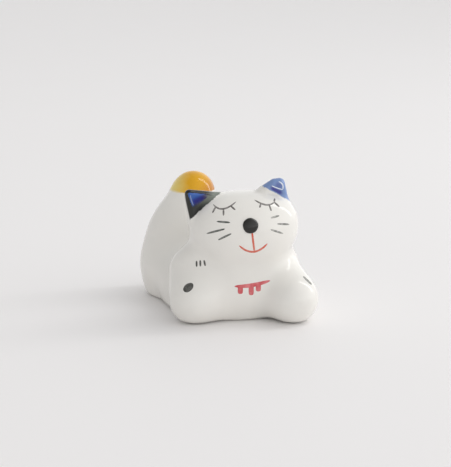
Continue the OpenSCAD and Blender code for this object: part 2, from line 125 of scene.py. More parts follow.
class PaintSizes(bpy.types.PropertyGroup):
    """Sizes of the painted marks"""
    line: size_property("Line width", "Width of a painted line at its middle", 0.44)
    whisker: size_property("Whisker width", "Width of a whisker at its middle", 0.5)
    raised: size_property("Paint height", "Height of a painted mark above the glaze", 0.04)
    mouth: size_property("Mouth width", "Width of the mouth's lines at their middle", 0.506)
    stripe: size_property("Stripe width", "Width of a stripe on the right foreleg at its middle", 0.484)
    nose: size_property("Nose", "Radius of the nose", 1.9)
    nose_raised: size_property("Nose height", "Height of the middle of the nose above the face", 0.8)
    bib: size_property("Bib width", "Width of the bib's band", 1)
    drip: size_property("Drip width", "Width of a drip of the bib at its middle", 1.3)
    spot_long: size_property("Spot length", "Half length of the spot on the right foreleg", 1.45)
    spot_short: size_property("Spot width", "Half width of the spot on the right foreleg", 0.95)
    pool_edge: size_property("Pool edge", "Rounding of the outline of the right ear's cobalt pool", 0.35)
    pool_raised: size_property("Pool height", "Height of the pool above the glaze", 0.09)
    # Ridges: raised strokes in the ears, coloured pale as a painted highlight
    ridge: size_property("Ridge width", "Width of a ridge over which the cobalt broke thin", 0.3)
    right_reflection_ridge: size_property("Right ridge height", "Height of the ridge in the right ear", 0.12)
    left_highlight_ridge: size_property("Left ridge height", "Height of the ridges in the left ear", 0.07)
    ear_coat: size_property("Ear coat", "Thickness of the coloured glaze on an ear", 0.03)
    sunk: size_property("Paint depth", "Depth of the underside of a mark below the top of the glaze", 0.03)


class CatColours(bpy.types.PropertyGroup):
    """Colours of the glazes and enamels"""
    porcelain: colour_property("Porcelain", "White body under the clear glaze", "#efece6")
    porcelain_cool: colour_property("Porcelain, thick glaze", "Cooler white under thick glaze", "#e7e5e0")
    biscuit: colour_property("Biscuit", "Bare fired porcelain of the foot", "#d9d2c6")
    amber_pale: colour_property("Pale amber", "Thin amber glaze", "#ecdb86")
    amber: colour_property("Amber", "Amber glaze", "#e0a610")
    amber_deep: colour_property("Deep amber", "Thick amber glaze", "#c07a00")
    steel: colour_property("Steel blue", "Thin cobalt glaze of the left ear", "#7b94c4")
    indigo: colour_property("Indigo", "Pooled cobalt glaze of the left ear", "#38358f")
    cobalt: colour_property("Cobalt", "Cobalt glaze of the right ear", "#2a5aa8")
    cobalt_deep: colour_property("Deep cobalt", "Pooled cobalt glaze of the right ear", "#040f78")
    violet: colour_property("Violet", "Thin cobalt over charcoal at the end of the pool", "#2d2058")
    # Nearly white: the painted highlight on the left ear's ridges
    cobalt_highlight_paint: colour_property("Pale cobalt", "Cobalt glaze that broke thin over a ridge", "#e6edf8")
    charcoal: colour_property("Charcoal", "Brushed charcoal glaze", "#2b2c28")
    charcoal_rim: colour_property("Charcoal, rim", "Charcoal glaze on the upper edge of the ear", "#151517")
    charcoal_pale: colour_property("Pale charcoal", "Thin charcoal glaze", "#7f857c")
    black: colour_property("Black", "Black enamel of the nose", "#171613")
    grey: colour_property("Grey", "Grey enamel of the fine lines", "#595351")
    green_grey: colour_property("Green grey", "Greenish grey enamel of the whiskers", "#454c46")
    red: colour_property("Red", "Red enamel of the mouth", "#d4502f")
    pink: colour_property("Pink", "Rose enamel of the bib", "#dc7b7e")
    pink_deep: colour_property("Deep pink", "Rose enamel where the brush left more", "#cb4d52")
    floor: colour_property("Floor", "Pale floor", "#f6f4f4")
    sky: colour_property("Sky", "Even light from all round", "#ffffff")


class StageSizes(bpy.types.PropertyGroup):
    """Camera, lights and floor"""
    distance: size_property("Camera distance", "From the camera to the plane of the cat", 400)
    lens: FloatProperty(name="Lens", description="Focal length in millimetres", default=122.9)
    aim: sides_property("Camera aim", "Right of the origin, behind it and up, in the camera's view",
                        (-0.002468, 0, 0.01909))
    fill: FloatProperty(name="Sky", description="Strength of the even light from all round", default=1.12)
    lean: sides_property("Sky lean", "Extra light from the right, behind and above", (0.43, 0.04, -0.52))
    window: FloatProperty(name="Window", description="Power of the tall window", default=1.3, unit="POWER")
    window_width: size_property("Window width", "From side to side of the window", 100)
    window_height: size_property("Window height", "From the bottom to the top of the window", 850)
    window_at: sides_property("Window place", "Right of, behind and above the foot", (0.57, 0.18, 0.52))
    window_aim: size_property("Window aim", "Height on the cat that the window faces", 16)
    floor_half: size_property("Floor", "From the middle of the floor to its sides", 12000)


# Places as shares of the cat's width, length and height, then sizes in millimetres and squareness
MASSES = {
    "belly": ((-0.0375, 0.08, 0.25), (29, 36, 19), 2),
    "flank": ((-0.18, 0.14, 0.1), (21, 28, 11), 2.5),
    "rump": ((-0.1425, 0.29, 0.26), (28.8, 25, 14.2), 2.2),
    "rise": ((-0.23, 0.37, 0.266), (23, 17, 37.6), 2),
    "chest": ((0, -0.144, 0.36), (22.4, 17.6, 25), 2.2),
    "breast": ((0, -0.074, 0.11), (29, 17.6, 14), 2),
    "head": ((0, -0.168, 0.744), (27.6, 19.6, 17), 2.4),
    "muzzle": ((0.005, -0.26, 0.703), (16, 10, 11), 2),
}
# Two ends of each limb as shares, and their radii in millimetres
LIMBS = {
    "tail": ((-0.175, 0.39, 0.53), (-0.155, 0.42, 0.831), 7.8, 5.8),
    "right_leg": ((-0.32, -0.12, 0.39), (-0.325, -0.206, 0.181), 5.6, 6.5),
    "left_leg": ((0.28, -0.12, 0.4), (0.2725, -0.312, 0.181), 3.5, 6.5),
}
# Tip, inner and outer corner of each ear from the middle of the head, as shares of half its sizes
EARS = {
    "right_ear": ((-1.034, -0.163, 1.038), (-0.483, -0.041, 0.876), (-0.96, -0.122, 0.219)),
    "left_ear": ((0.639, -0.184, 1.229), (0.36, -0.122, 0.98), (0.744, -0.122, 0.584)),
}
# Rounded shoulder between the tip and the inner corner of the left ear, as shares of half the head's sizes
EAR_SHOULDERS = {"left_ear": (0.545, -0.172, 1.215)}
# Two ends of the lower edge of an ear's glaze, in millimetres right of and above its tip in the brush's view
GLAZE_EDGES = {
    "right_ear": ((0.35, -6.3), (7.6, 0.2)),
    "left_ear": ((-3.75, -1.05), (2.05, -4.15)),
}
# Height of an ear's joint above the line through its lower corners, as a share of its foot's radius
EAR_SEAT_SHARE = 0.6
# How far a coat reaches below the edge of its colour, and how thick an ear counts as, in millimetres
COAT_SPREAD, COAT_DEPTH = 0.7, 1.6
# Luting planes: a place as shares, and in degrees the tilt of the neck and the way a foreleg's joint faces,
# from straight ahead towards the cat's left
NECK_SHARE, NECK_TILT = (0, -0.16, 0.545), 9.7
LEG_JOINTS = {
    "right_foreleg": ((-0.2875, -0.16, 0.25), -59),
    "left_foreleg": ((0.2475, -0.164, 0.25), 60),
}
TAIL_SHARE = (-0.2, 0.38, 0.72)
# How far behind the neck's place the head and the forelegs end, as shares of the length
HEAD_BACK_SHARE, LEG_BACK_SHARE = 0.25, 0.26
VENT_SHARE = (-0.0625, 0.16, 0)

# The brush looks at the cat from this side and this far above, in degrees
BRUSH_TURN, BRUSH_TILT = 14, 13

# What carries the marks: a place as shares, and the radius in millimetres that the marks' shares follow
SEATS = {
    "face": (MASSES["head"][0], MASSES["head"][1][0] / 2),
    "chest": (MASSES["chest"][0], MASSES["chest"][1][0] / 2),
    "right_shoulder": (LIMBS["right_leg"][0], LIMBS["right_leg"][2]),
    "right_paw": (LIMBS["right_leg"][1], LIMBS["right_leg"][3]),
    "left_paw": (LIMBS["left_leg"][1], LIMBS["left_leg"][3]),
}
# Marks on the face, on the brush's plane from the middle of the head
NOSE = (0.117, -0.027)
RIGHT_LID = ((-0.547, 0.358), (-0.368, 0.272), (-0.135, 0.405))
RIGHT_LASHES = (((-0.5, 0.31), (-0.559, 0.201)), ((-0.36, 0.275), (-0.362, 0.151)),
                ((-0.235, 0.326), (-0.15, 0.252)))
LEFT_LID = ((0.189, 0.44), (0.397, 0.348), (0.553, 0.4))
LEFT_LASHES = (((0.308, 0.378), (0.283, 0.293)), ((0.455, 0.352), (0.491, 0.235)),
               ((0.551, 0.395), (0.641, 0.31)), ((0.547, 0.4), (0.56, 0.467)))
WHISKERS = {
    "right_whisker_upper": ((-0.245, 0.03), (-0.482, 0.048)),
    "right_whisker_middle": ((-0.335, -0.083), (-0.664, -0.167)),
    "right_whisker_lower": ((-0.222, -0.167), (-0.459, -0.28)),
    "left_whisker_upper": ((0.48, 0.112), (0.637, 0.155)),
    "left_whisker_middle": ((0.598, 0.008), (0.823, -0.001)),
    "left_whisker_lower": ((0.475, -0.094), (0.709, -0.167)),
}
MOUTH_LINE = ((0.145, -0.145), (0.187, -0.48))
MOUTH_CURVE = ((-0.085, -0.378), (0.172, -0.491), (0.422, -0.343))
# Cobalt in the ears: the pool in the right one, and raised ridges in both whose pale colour is a painted
# highlight
POOL = ((-0.975, 0.54), (-0.645, 0.515), (-0.895, 0.3))
POOL_REFLECTION_RIDGE = ((-0.955, 0.52), (-0.936, 0.43), (-0.9, 0.335))
LEFT_HIGHLIGHT_RIDGES = (((0.507, 0.695), (0.606, 0.658), (0.707, 0.629)),
               ((0.707, 0.629), (0.703, 0.72), (0.63, 0.773)))
# Marks on the chest and the legs
BIB = ((-0.177, -0.326), (0.212, -0.304), (0.619, -0.201))
BIB_DRIPS = (((-0.046, -0.33), (-0.048, -0.5)), ((0.194, -0.32), (0.195, -0.53)),
             ((0.355, -0.29), (0.352, -0.445)))
LEG_STRIPES = (((0.237, 0.385), (0.238, 0.116)), ((0.397, 0.417), (0.406, 0.134)),
               ((0.566, 0.418), (0.624, 0.152)))
SPOT, SPOT_TURN = (-0.236, 0.468), 38
LEFT_STRIPE = ((0.39, 0.86), (0.721, 0.539))
# Width of a stroke where it starts and ends, as shares of the width at its middle
TAPER, HIGHLIGHT_RIDGE_TAPER, MOUTH_TAPER = (0.45, 0.3), (0.6, 0.5), (0.7, 0.7)
BIB_TAPER, DRIP_TAPER = (0.3, 0.3), (1, 0.6)

# How the colours of the glazes run into each other. Each share grows from none at the first distance to all
# at the second, in millimetres from a point along a direction, and the third is how ragged the edge is.
SPANS = {
    "bare_foot": (-0.12, -0.04, 0),
    "amber_thin": (-5.5, 1, 0),
    "amber_thick": (0.2, 4.5, 0),
    "amber_edge": (0.25, 0.5, 0.35),
    "amber_feather": (0, 1.1, 0),
    "ear_edge": (-0.1, 0.2, 0.3),
    "ear_back": (-0.8, -0.5, 0),
    "white_side": (-0.1, 0.2, 0),
    "wash_start": (2.5, 9, 0.8),
    "wash_edge": (-1, 0.5, 0),
    "rim": (0.1, 0.35, 0),
    "rim_end": (-6.5, -4, 0),
    "deep_top": (-1, 0.1, 0),
    "deep_start": (-2.4, -1.2, 0),
    "violet": (0.5, 1.6, 0),
    "pool_foot": (-1.5, -0.3, 0.2),
    "pool_end": (-2.6, -1.3, 0.3),
    "indigo_foot": (0.1, 0.5, 0),
    "indigo_top": (-1.5, -0.9, 0),
    "indigo_start": (0.9, 2, 0),
    "indigo_end": (-5, -3.9, 0),
    "dish_foot": (1.2, 1.8, 0),
    "dish_top": (-3, -2.3, 0),
    "dish_start": (1.6, 2.6, 0),
    "dish_end": (-4.2, -3.2, 0),
}
# The way the amber thickens: right and up in the brush's view
AMBER_COURSE = (0.9, -0.44)
# Middle of the right ear's pool, right of and above the ear's tip in millimetres, and the way it was brushed
POOL_MIDDLE, POOL_COURSE = (2.4, -1.15), (0.9, 0.43)
# A point on the edge of the right ear's white side, in millimetres right of and above the ear's tip, then
# the way that the charcoal grows from there and the way that it darkens to the rim, in the brush's view
WHITE_SIDE, WHITE_SIDE_COURSE, RIM_COURSE = (-0.99, -1.42), (1, 0.22), (0.12, 1)
# How much indigo lies in the left ear's pool and in its dish
INDIGO_SHARE, DISH_SHARE = 0.9, 0.45

GLAZE_IOR = 1.52
# Spacing in millimetres of the streaks that a brush leaves at the edge of a glaze
BRISTLES = 0.7
# Size in millimetres of the clouds in a colour
CLOUDS = {"white": 9, "biscuit": 0.6, "amber": 2.5, "floor": 60}
# How strongly the amber's clouds thicken it, and by how much the floor's clouds are paler
AMBER_CLOUD, FLOOR_CLOUD = 0.4, 0.1
# Roughness, strength of the reflection, and the size and depth of the ripples in millimetres of each glaze
FINISHES = {
    "clear": (0.13, 0.5, 4, 0.03),
    "amber": (0.05, 0.42, 2.5, 0.02),
    "charcoal": (0.25, 0.35, 1.2, 0.02),
    "cobalt": (0.06, 0.5, 1.2, 0.02),
}
BISCUIT_ROUGHNESS = 0.75
BOARD_ROUGHNESS, BOARD_IOR = 0.6, 1.4
# Enamels and thin glazes laid with a fine brush: two colours, each with the share by which it is paler, then
# the size of the blotches in millimetres and the roughness
ENAMELS = {
    # Glossy black of the nose
    "black_enamel": (("black", 0), ("black", 0), 0.6, 0.08),
    # Soft grey of the eyelids, paler where the brush ran dry
    "grey_enamel": (("grey", 0), ("grey", 0.25), 0.8, 0.2),
    # Dark whiskers on the right, with a green cast
    "green_grey_enamel": (("green_grey", 0), ("green_grey", 0.2), 1, 0.2),
    # Fainter whiskers on the left
    "thin_grey_enamel": (("green_grey", 0.15), ("green_grey", 0.5), 1, 0.2),
    # Faint stripe on the left foreleg
    "faint_grey_enamel": (("green_grey", 0.1), ("green_grey", 0.4), 0.8, 0.2),
    # Nearly black stripes and spot of the right foreleg
    "charcoal_enamel": (("charcoal", 0.04), ("charcoal", 0.12), 0.8, 0.2),
    # Warm red line of the mouth
    "red_enamel": (("red", 0), ("red", 0.2), 1, 0.2),
    # Rose bib, deeper where the brush left more
    "rose_enamel": (("pink", 0), ("pink_deep", 0), 1.5, 0.2),
    # Light blue ridge of the right ear: a painted reflection along the edge of the pool
    "painted_reflection_cobalt": (("cobalt", 0.35), ("cobalt", 0.2), 0.8, 0.2),
    # Nearly white ridges of the left ear: a painted highlight, the window's reflection laid on as colour
    "painted_highlight_cobalt": (("cobalt_highlight_paint", 0), ("cobalt_highlight_paint", 0.2), 0.8, 0.2),
}
# Strength of the reflection of an enamel, the depth of its ripples in millimetres, and the part of the noise
# that its blotches follow
ENAMEL_REFLECTION, ENAMEL_RIPPLE, BLOTCHES = 0.5, 0.01, (0.35, 0.65)

# How the surfaces are found: the reach over which a slope or a way is measured, the share of the distance
# that one stride towards a surface goes, and the rate of nearing under which a stride is left out
PROBE, STRIDE_SHARE, LEAST_RATE = 0.01, 0.9, 0.05
# Values that keep a division away from nought
TINY, LEAST_SLOPE = 1e-9, 1e-6
# Within how many millimetres a corner counts as lying on a cut, and as lying on the skin
ON_CUT, ON_SKIN = 1e-5, 0.05
# How well a face agrees with the form where it is part of the skin, and the slope of the flat foot
ALIKE, FOOT_DOWN = 0.8, -0.999
# Shares of a stroke's width and height that its very ends keep, and how round the tops of a stroke and a dab
# are, where 1 would bring their sides down to the glaze
END_WIDTH_SHARE, END_HEIGHT_SHARE, STROKE_DROP, DAB_DROP = 0.05, 0.02, 0.97, 0.995
# How far a dab's outline wanders, how many times round it, and where it starts
WOBBLES = ((0.012, 3, 1), (0.008, 5, 0))
# How flat a pool of glaze lies before its rim, and how much of its height is lost there
POOL_FLATNESS, POOL_DROP = 6, 0.9
# How far the rim of an ear's coat dips under the surface, as a share of the depth of the paint
DIP_SHARE = 1 / 3
# Sides of the vent hole, and how many walls long its cutter is
VENT_SIDES, CUTTER_WALLS = 64, 3
# How many steps of the skin lie around the cat, and how much coarser the hidden skin of the hollow is
MARGIN_STEPS, HOLLOW_STEPS = 4, 3
# Width of the camera's sensor in millimetres, and the nearest thing that it shows in metres
SENSOR, NEAREST = 36, 0.01

# Nodes cast in porcelain, in the order in which they are made
PORCELAIN = ("body", "head", "right_foreleg", "left_foreleg", "tail", "right_ear", "left_ear")


def settings():
    """The add-on's settings of this scene"""
    return bpy.context.scene.cat_rest


def mm(length):
    """Millimetres of a length property"""
    return length / MM


def place(share):
    """Point in millimetres of a place given as shares of the cat's width, length and height"""
    s = settings().cat
    return np.array(share) * (mm(s.width), mm(s.length), mm(s.height))


def unit(vector):
    """Vector or vectors of length one"""
    vector = np.asarray(vector, float)
    return vector / np.linalg.norm(vector, axis=-1, keepdims=True)


def brush_axes():
    """Directions to the right of the brush's view, upwards in it, and away from the brush"""
    turn, tilt = math.radians(BRUSH_TURN), math.radians(BRUSH_TILT)
    right = np.array([math.cos(turn), -math.sin(turn), 0])
    up = np.array([math.sin(turn) * math.sin(tilt), math.cos(turn) * math.sin(tilt), math.cos(tilt)])
    away = np.array([math.sin(turn) * math.cos(tilt), math.cos(turn) * math.cos(tilt), -math.sin(tilt)])
    return right, up, away


def slant(x, y):
    """Direction in the brush's view, to the right and upwards"""
    right, up = brush_axes()[:2]
    return unit(right * x + up * y)


def stage_vector(sides):
    """Vector of the frame from three lengths: to the right, level behind and above, as the camera stands"""
    right, _, away = brush_axes()
    return np.array(sides) @ (right, unit(away * (1, 1, 0)), UP)


def mass(p, share, size, square):
    """Distance to a rounded mass, near its surface, less than zero inside"""
    size = np.array(size, float)
    q = np.abs(p - place(share)) / size * 2 + TINY
    s = (q ** square).sum(-1) ** (1 / square)
    slope = (q / s[..., None]) ** (square - 1) / size
    return (s - 1) / np.linalg.norm(slope, axis=-1) / 2


def limb(p, start, end, start_r, end_r):
    """Distance to a limb that changes its radius from one end to the other"""
    a, b = place(start), place(end)
    course = b - a
    t = np.clip((p - a) @ course / (course @ course), 0, 1)
    radius = start_r + (end_r - start_r) * t * t * (3 - 2 * t)
    return np.linalg.norm(p - a - t[..., None] * course, axis=-1) - radius


def merge(a, b, width):
    """Runs two distances together over a width"""
    h = np.maximum(width - np.abs(a - b), 0) / width
    return np.minimum(a, b) - h * h * width / 4


def cat_form(p):
    """Distance to the whole cat without its ears"""
    s = settings().cat
    blend = mm(s.body_blend)
    part = {name: mass(p, *row) for name, row in MASSES.items()}
    rear = part["belly"]
    for name in ("rump", "flank", "rise"):
        rear = merge(rear, part[name], blend)
    rear = merge(rear, limb(p, *LIMBS["tail"]), blend)
    front = merge(part["chest"], part["head"], mm(s.neck_blend))
    front = merge(front, part["muzzle"], mm(s.muzzle_blend))
    front = merge(front, part["breast"], blend)
    whole = merge(rear, front, blend)
    for leg in ("right_leg", "left_leg"):
        whole = merge(whole, limb(p, *LIMBS[leg]), mm(s.leg_blend))
    return -merge(-whole, p[..., 2] + mm(s.foot_drop), mm(s.foot_blend))


def head_half():
    """Half sizes of the head in millimetres"""
    return np.array(MASSES["head"][1], float) / 2


def ear_corners(name):
    """Tip, inner and outer corner of an ear in millimetres"""
    return place(MASSES["head"][0]) + np.array(EARS[name]) * head_half()


def ear_out(corners):
    """Direction out of an ear's front face"""
    out = unit(np.cross(corners[1] - corners[0], corners[2] - corners[0]))
    return -out if out[1] > 0 else out


def across(edge, other):
    """Direction that leaves an edge at right angles, towards another edge"""
    return unit(other - edge * (edge @ other) / (edge @ edge))


def sheet(p, corners):
    """Distance to a rounded triangle whose corners each have a radius"""
    best = np.full(p.shape[:-1], np.inf)
    for (start, r0), (end, r1) in zip(corners, corners[1:] + corners[:1]):
        edge = end - start
        t = np.clip((p - start) @ edge / (edge @ edge), 0, 1)
        gap = np.linalg.norm(p - start - t[..., None] * edge, axis=-1)
        best = np.minimum(best, gap - r0 - (r1 - r0) * t)
    (a, ra), (b, rb), (c, rc) = corners
    basis = np.linalg.inv(np.stack([b - a, c - a, unit(np.cross(b - a, c - a))], 1))
    u, v, h = np.moveaxis((p - a) @ basis.T, -1, 0)
    within = (u > 0) & (v > 0) & (u + v < 1)
    return np.where(within, np.minimum(best, np.abs(h) - ra - (rb - ra) * u - (rc - ra) * v), best)


def ear_form(p, name):
    """Distance to an ear: a rounded triangle that thickens back and in from its tip, dished in front"""
    s = settings().cat
    tip_r, foot_r = mm(getattr(s, name + "_tip")), mm(s.ear_foot)
    swell = foot_r - tip_r
    corners = ear_corners(name)
    out = ear_out(corners)
    inner, outer = corners[1] - corners[0], corners[2] - corners[0]
    tip = (corners[0], tip_r)
    inner_foot = (corners[1] + (across(inner, outer) - out) * swell, foot_r)
    outer_foot = (corners[2] + (across(outer, inner) - out) * swell, foot_r)
    solid = sheet(p, [tip, inner_foot, outer_foot])
    if name in EAR_SHOULDERS:
        shoulder = place(MASSES["head"][0]) + np.array(EAR_SHOULDERS[name]) * head_half()
        solid = np.minimum(solid, sheet(p, [tip, (shoulder, tip_r), inner_foot]))
    sides = [np.linalg.norm(corners[i - 1] - corners[i - 2]) for i in range(3)]
    middle = sum(side * corner for side, corner in zip(sides, corners)) / sum(sides)
    area = np.linalg.norm(np.cross(inner, outer))
    reach, dip = area / sum(sides) + tip_r / 2, mm(s.ear_dish)
    ball_r = (reach * reach + dip * dip) / (2 * dip)
    ball = middle + out * (tip_r - dip + ball_r)
    dish = np.linalg.norm(p - ball, axis=-1) - ball_r
    return -merge(-solid, dish, tip_r / 2)


def whole_form(p):
    """Distance to the cat with its ears"""
    solid = cat_form(p)
    for name in EARS:
        solid = merge(solid, ear_form(p, name), mm(settings().cat.ear_blend))
    return solid


def plane_distance(p, plane):
    """Distance in front of a plane given by a point and a direction"""
    at, out = plane
    return (p - at) @ out


def luting_planes():
    """Point and direction of the plane on which each luted piece sits, apart from the ears"""
    tilt = math.radians(NECK_TILT)
    planes = {"head": (place(NECK_SHARE), np.array([0, -math.sin(tilt), math.cos(tilt)]))}
    for name, (share, facing) in LEG_JOINTS.items():
        facing = math.radians(facing)
        planes[name] = (place(share), np.array([math.sin(facing), -math.cos(facing), 0]))
    planes["tail"] = (place(TAIL_SHARE), UP)
    return planes


def amber_plane():
    """Plane above which the tail's tip is glazed amber"""
    return mm(settings().cat.amber_edge) * UP, UP


def ear_plane(name):
    """Plane on which an ear is luted, just clear of the head"""
    tip, inner, outer = ear_corners(name)
    rise = across(outer - inner, tip - inner)
    return inner + rise * EAR_SEAT_SHARE * mm(settings().cat.ear_foot), rise


def hollow_form(p):
    """Distance to the hollow of the body, which stays a wall away from every luting plane"""
    s = settings().cat
    hollow = cat_form(p)
    for plane in luting_planes().values():
        hollow = -merge(-hollow, -plane_distance(p, plane), mm(s.foot_blend))
    return -merge(-hollow - mm(s.wall), p[..., 2] - mm(s.wall), mm(s.foot_blend))


def slope(form, p):
    """Gradient of a form at some points"""
    return np.stack([(form(p + step) - form(p - step)) / (2 * PROBE) for step in np.eye(3) * PROBE], -1)


def settle(form, p, rounds=4):
    """Moves points onto the surface of a form"""
    for _ in range(rounds):
        g = slope(form, p)
        p = p - g * (form(p) / np.maximum((g * g).sum(-1), LEAST_SLOPE))[..., None]
    return p


def land(form, starts, direction, strides=48, rounds=3):
    """Points where a form's surface is met along a direction from outside"""
    t = np.zeros(starts.shape[:-1])
    for _ in range(strides):
        t += form(starts + t[..., None] * direction) * STRIDE_SHARE
    for _ in range(rounds):
        here = form(starts + t[..., None] * direction)
        ahead = form(starts + (t + PROBE)[..., None] * direction)
        rate = (ahead - here) / PROBE
        t -= np.where(rate < -LEAST_RATE, here / np.minimum(rate, -LEAST_RATE), 0)
    return starts + t[..., None] * direction


def grid_skin(form, low, high, step):
    """Closed skin of quads on a form's surface, with a corner in each grid cell that it crosses"""
    axes = [np.arange(lo, hi + step, step) for lo, hi in zip(low, high)]
    grid = np.stack(np.meshgrid(*axes, indexing="ij"), -1)
    value = np.concatenate([form(slab) for slab in grid])
    value = value.reshape(grid.shape[:3])
    cells = tuple(n - 1 for n in value.shape)
    total = np.zeros(cells + (3,))
    count = np.zeros(cells, int)
    crossings = []
    for axis in range(3):
        near = np.moveaxis(np.moveaxis(value, axis, 0)[:-1], 0, axis)
        far = np.moveaxis(np.moveaxis(value, axis, 0)[1:], 0, axis)
        edge = np.argwhere((near < 0) != (far < 0))
        a, b = near[tuple(edge.T)], far[tuple(edge.T)]
        point = grid[tuple(edge.T)] + np.eye(3)[axis] * step * (a / (a - b))[:, None]
        one, two = np.eye(3, dtype=int)[(axis + 1) % 3], np.eye(3, dtype=int)[(axis + 2) % 3]
        ring = [edge, edge - one, edge - one - two, edge - two]
        for cell in ring:
            np.add.at(total, tuple(cell.T), point)
            np.add.at(count, tuple(cell.T), 1)
        crossings.append((ring, a < 0))
    used = count > 0
    index = np.full(cells, -1)
    index[used] = np.arange(used.sum())
    corners = total[used] / count[used][:, None]
    quads = []
    for ring, leaving in crossings:
        quad = np.stack([index[tuple(cell.T)] for cell in ring], 1)
        quads.append(np.where(leaving[:, None], quad, quad[:, ::-1]))
    return settle(form, corners), np.concatenate(quads)


def solid_from(corners, faces):
    """Mesh being edited, from corners and faces"""
    mesh = bpy.data.meshes.new("skin")
    mesh.from_pydata([tuple(c) for c in corners], [], [tuple(int(i) for i in f) for f in faces])
    solid = bmesh.new()
    solid.from_mesh(mesh)
    bpy.data.meshes.remove(mesh)
    return solid


def drop_faces(solid, doomed):
    """Deletes faces and closes the flat opening that they leave"""
    bmesh.ops.delete(solid, geom=doomed, context="FACES")
    rim = [e for e in solid.edges if e.is_boundary]
    caps = bmesh.ops.edgeloop_fill(solid, edges=rim)["faces"]
    bmesh.ops.triangulate(solid, faces=caps)
    bmesh.ops.recalc_face_normals(solid, faces=solid.faces)
    return solid


def take_off(solid, plane, near):
    """Cuts the piece in front of a plane off a closed solid; returns the piece and the rest, both closed"""
    at, out = plane
    close = {v for v in solid.verts if near(np.array(v.co))}
    geom = list(close)
    geom += [e for e in solid.edges if all(v in close for v in e.verts)]
    geom += [f for f in solid.faces if all(v in close for v in f.verts)]
    bmesh.ops.bisect_plane(solid, geom=geom, dist=ON_CUT, plane_co=at, plane_no=out)
    piece = solid.copy()
    for part, side in ((piece, 1), (solid, -1)):
        doomed = []
        for f in part.faces:
            centre = np.array(f.calc_center_median())
            beyond = near(centre) and plane_distance(centre, plane) > 0
            if beyond != (side > 0):
                doomed.append(f)
        drop_faces(part, doomed)
    return piece, solid


def new_object(name, data):
    """Object in the scene that holds a mesh, a light or a camera"""
    piece = bpy.data.objects.new(name, data)
    bpy.context.scene.collection.objects.link(piece)
    return piece


def finish_piece(piece, node, material):
    """Gives a piece its material and its place in the frame"""
    piece.data.materials.clear()
    piece.data.materials.append(material)
    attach(piece, BODY)
    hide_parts(node)


def smooth_normals(mesh, form):
    """Takes the normals of the corners on a form's surface from the form, apart from the flat foot"""
    points = np.zeros(len(mesh.vertices) * 3)
    mesh.vertices.foreach_get("co", points)
    points = points.reshape(-1, 3) / MM
    ends = np.zeros(len(mesh.loops), int)
    mesh.loops.foreach_get("vertex_index", ends)
    flat = np.zeros(len(mesh.polygons) * 3)
    mesh.polygons.foreach_get("normal", flat)
    sides = np.zeros(len(mesh.polygons), int)
    mesh.polygons.foreach_get("loop_total", sides)
    flat = np.repeat(flat.reshape(-1, 3), sides, 0)
    round_ = unit(slope(form, points))[ends]
    on_skin = (np.abs(form(points)) < ON_SKIN)[ends]
    on_skin &= ((flat * round_).sum(-1) > ALIKE) & (flat[:, 2] > FOOT_DOWN)
    mesh.polygons.foreach_set("use_smooth", np.ones(len(mesh.polygons), bool))
    mesh.normals_split_custom_set(np.where(on_skin[:, None], round_, flat).tolist())


def cast_piece(solid, name):
    """Object from a solid in millimetres"""
    bmesh.ops.scale(solid, vec=(MM, MM, MM), verts=solid.verts)
    mesh = bpy.data.meshes.new(name)
    solid.to_mesh(mesh)
    solid.free()
    return new_object(name, mesh)


def cut_away(piece, tool):
    """Takes a tool's space out of a piece and deletes the tool"""
    cut = piece.modifiers.new("cut", "BOOLEAN")
    cut.operation = "DIFFERENCE"
    cut.solver = "EXACT"
    cut.object = tool
    mesh = bpy.data.meshes.new_from_object(piece.evaluated_get(bpy.context.evaluated_depsgraph_get()))
    piece.modifiers.clear()
    old, piece.data = piece.data, mesh
    bpy.data.meshes.remove(old)
    bpy.data.objects.remove(tool)


def add_node(tree, kind, values=None):
    """Adds a node; each value is set by its name or number, or linked where it is another node's socket"""
    node = tree.nodes.new(kind)
    for key, value in (values or {}).items():
        if isinstance(value, bpy.types.NodeSocket):
            tree.links.new(value, node.inputs[key])
        elif isinstance(key, str) and hasattr(node, key):
            setattr(node, key, value)
        else:
            node.inputs[key].default_value = value
    return node


def new_material(name):
    """Material without nodes, and its tree"""
    material = bpy.data.materials.new(name)
    material.use_nodes = True
    material.node_tree.nodes.clear()
    return material, material.node_tree


def surface(tree, values):
    """Shader of a material, with its output"""
    shader = add_node(tree, "ShaderNodeBsdfPrincipled", values)
    add_node(tree, "ShaderNodeOutputMaterial", {"Surface": shader.outputs["BSDF"]})


def position(tree):
    """Socket with the place in the frame, in metres"""
    return add_node(tree, "ShaderNodeTexCoord").outputs["Object"]


def grain(tree, size_mm, detail=2.0):
    """Noise whose blotches are about a size in millimetres"""
    return add_node(tree, "ShaderNodeTexNoise", {"Scale": 1 / (size_mm * MM), "Detail": detail,
                                                 "Vector": position(tree)}).outputs["Fac"]


def along(tree, at, direction, name):
    """Share of a colour that grows from a point along a direction, over one of the spans"""
    low, high, ragged = (length * MM for length in SPANS[name])
    offset = add_node(tree, "ShaderNodeVectorMath",
                      {"operation": "SUBTRACT", 0: position(tree), 1: tuple(np.array(at) * MM)})
    reach = add_node(tree, "ShaderNodeVectorMath",
                     {"operation": "DOT_PRODUCT", 0: offset.outputs["Vector"], 1: tuple(direction)})
    reach = reach.outputs["Value"]
    if ragged:
        wander = add_node(tree, "ShaderNodeMapRange",
                          {"To Min": -ragged, "To Max": ragged, "Value": grain(tree, BRISTLES, 3)})
        reach = add_node(tree, "ShaderNodeMath", {"operation": "ADD", 0: reach, 1: wander.outputs["Result"]})
        reach = reach.outputs[0]
    share = add_node(tree, "ShaderNodeMapRange",
                     {"interpolation_type": "SMOOTHSTEP", "From Min": low, "From Max": high, "Value": reach})
    return share.outputs["Result"]


def both(tree, *shares):
    """Product of some shares"""
    total = shares[0]
    for share in shares[1:]:
        total = combine(tree, "MULTIPLY", total, share)
    return total


def mix(tree, share, first, second):
    """Colour between two colours or sockets"""
    return add_node(tree, "ShaderNodeMix", {"data_type": "RGBA", 0: share, 6: first, 7: second}).outputs[2]


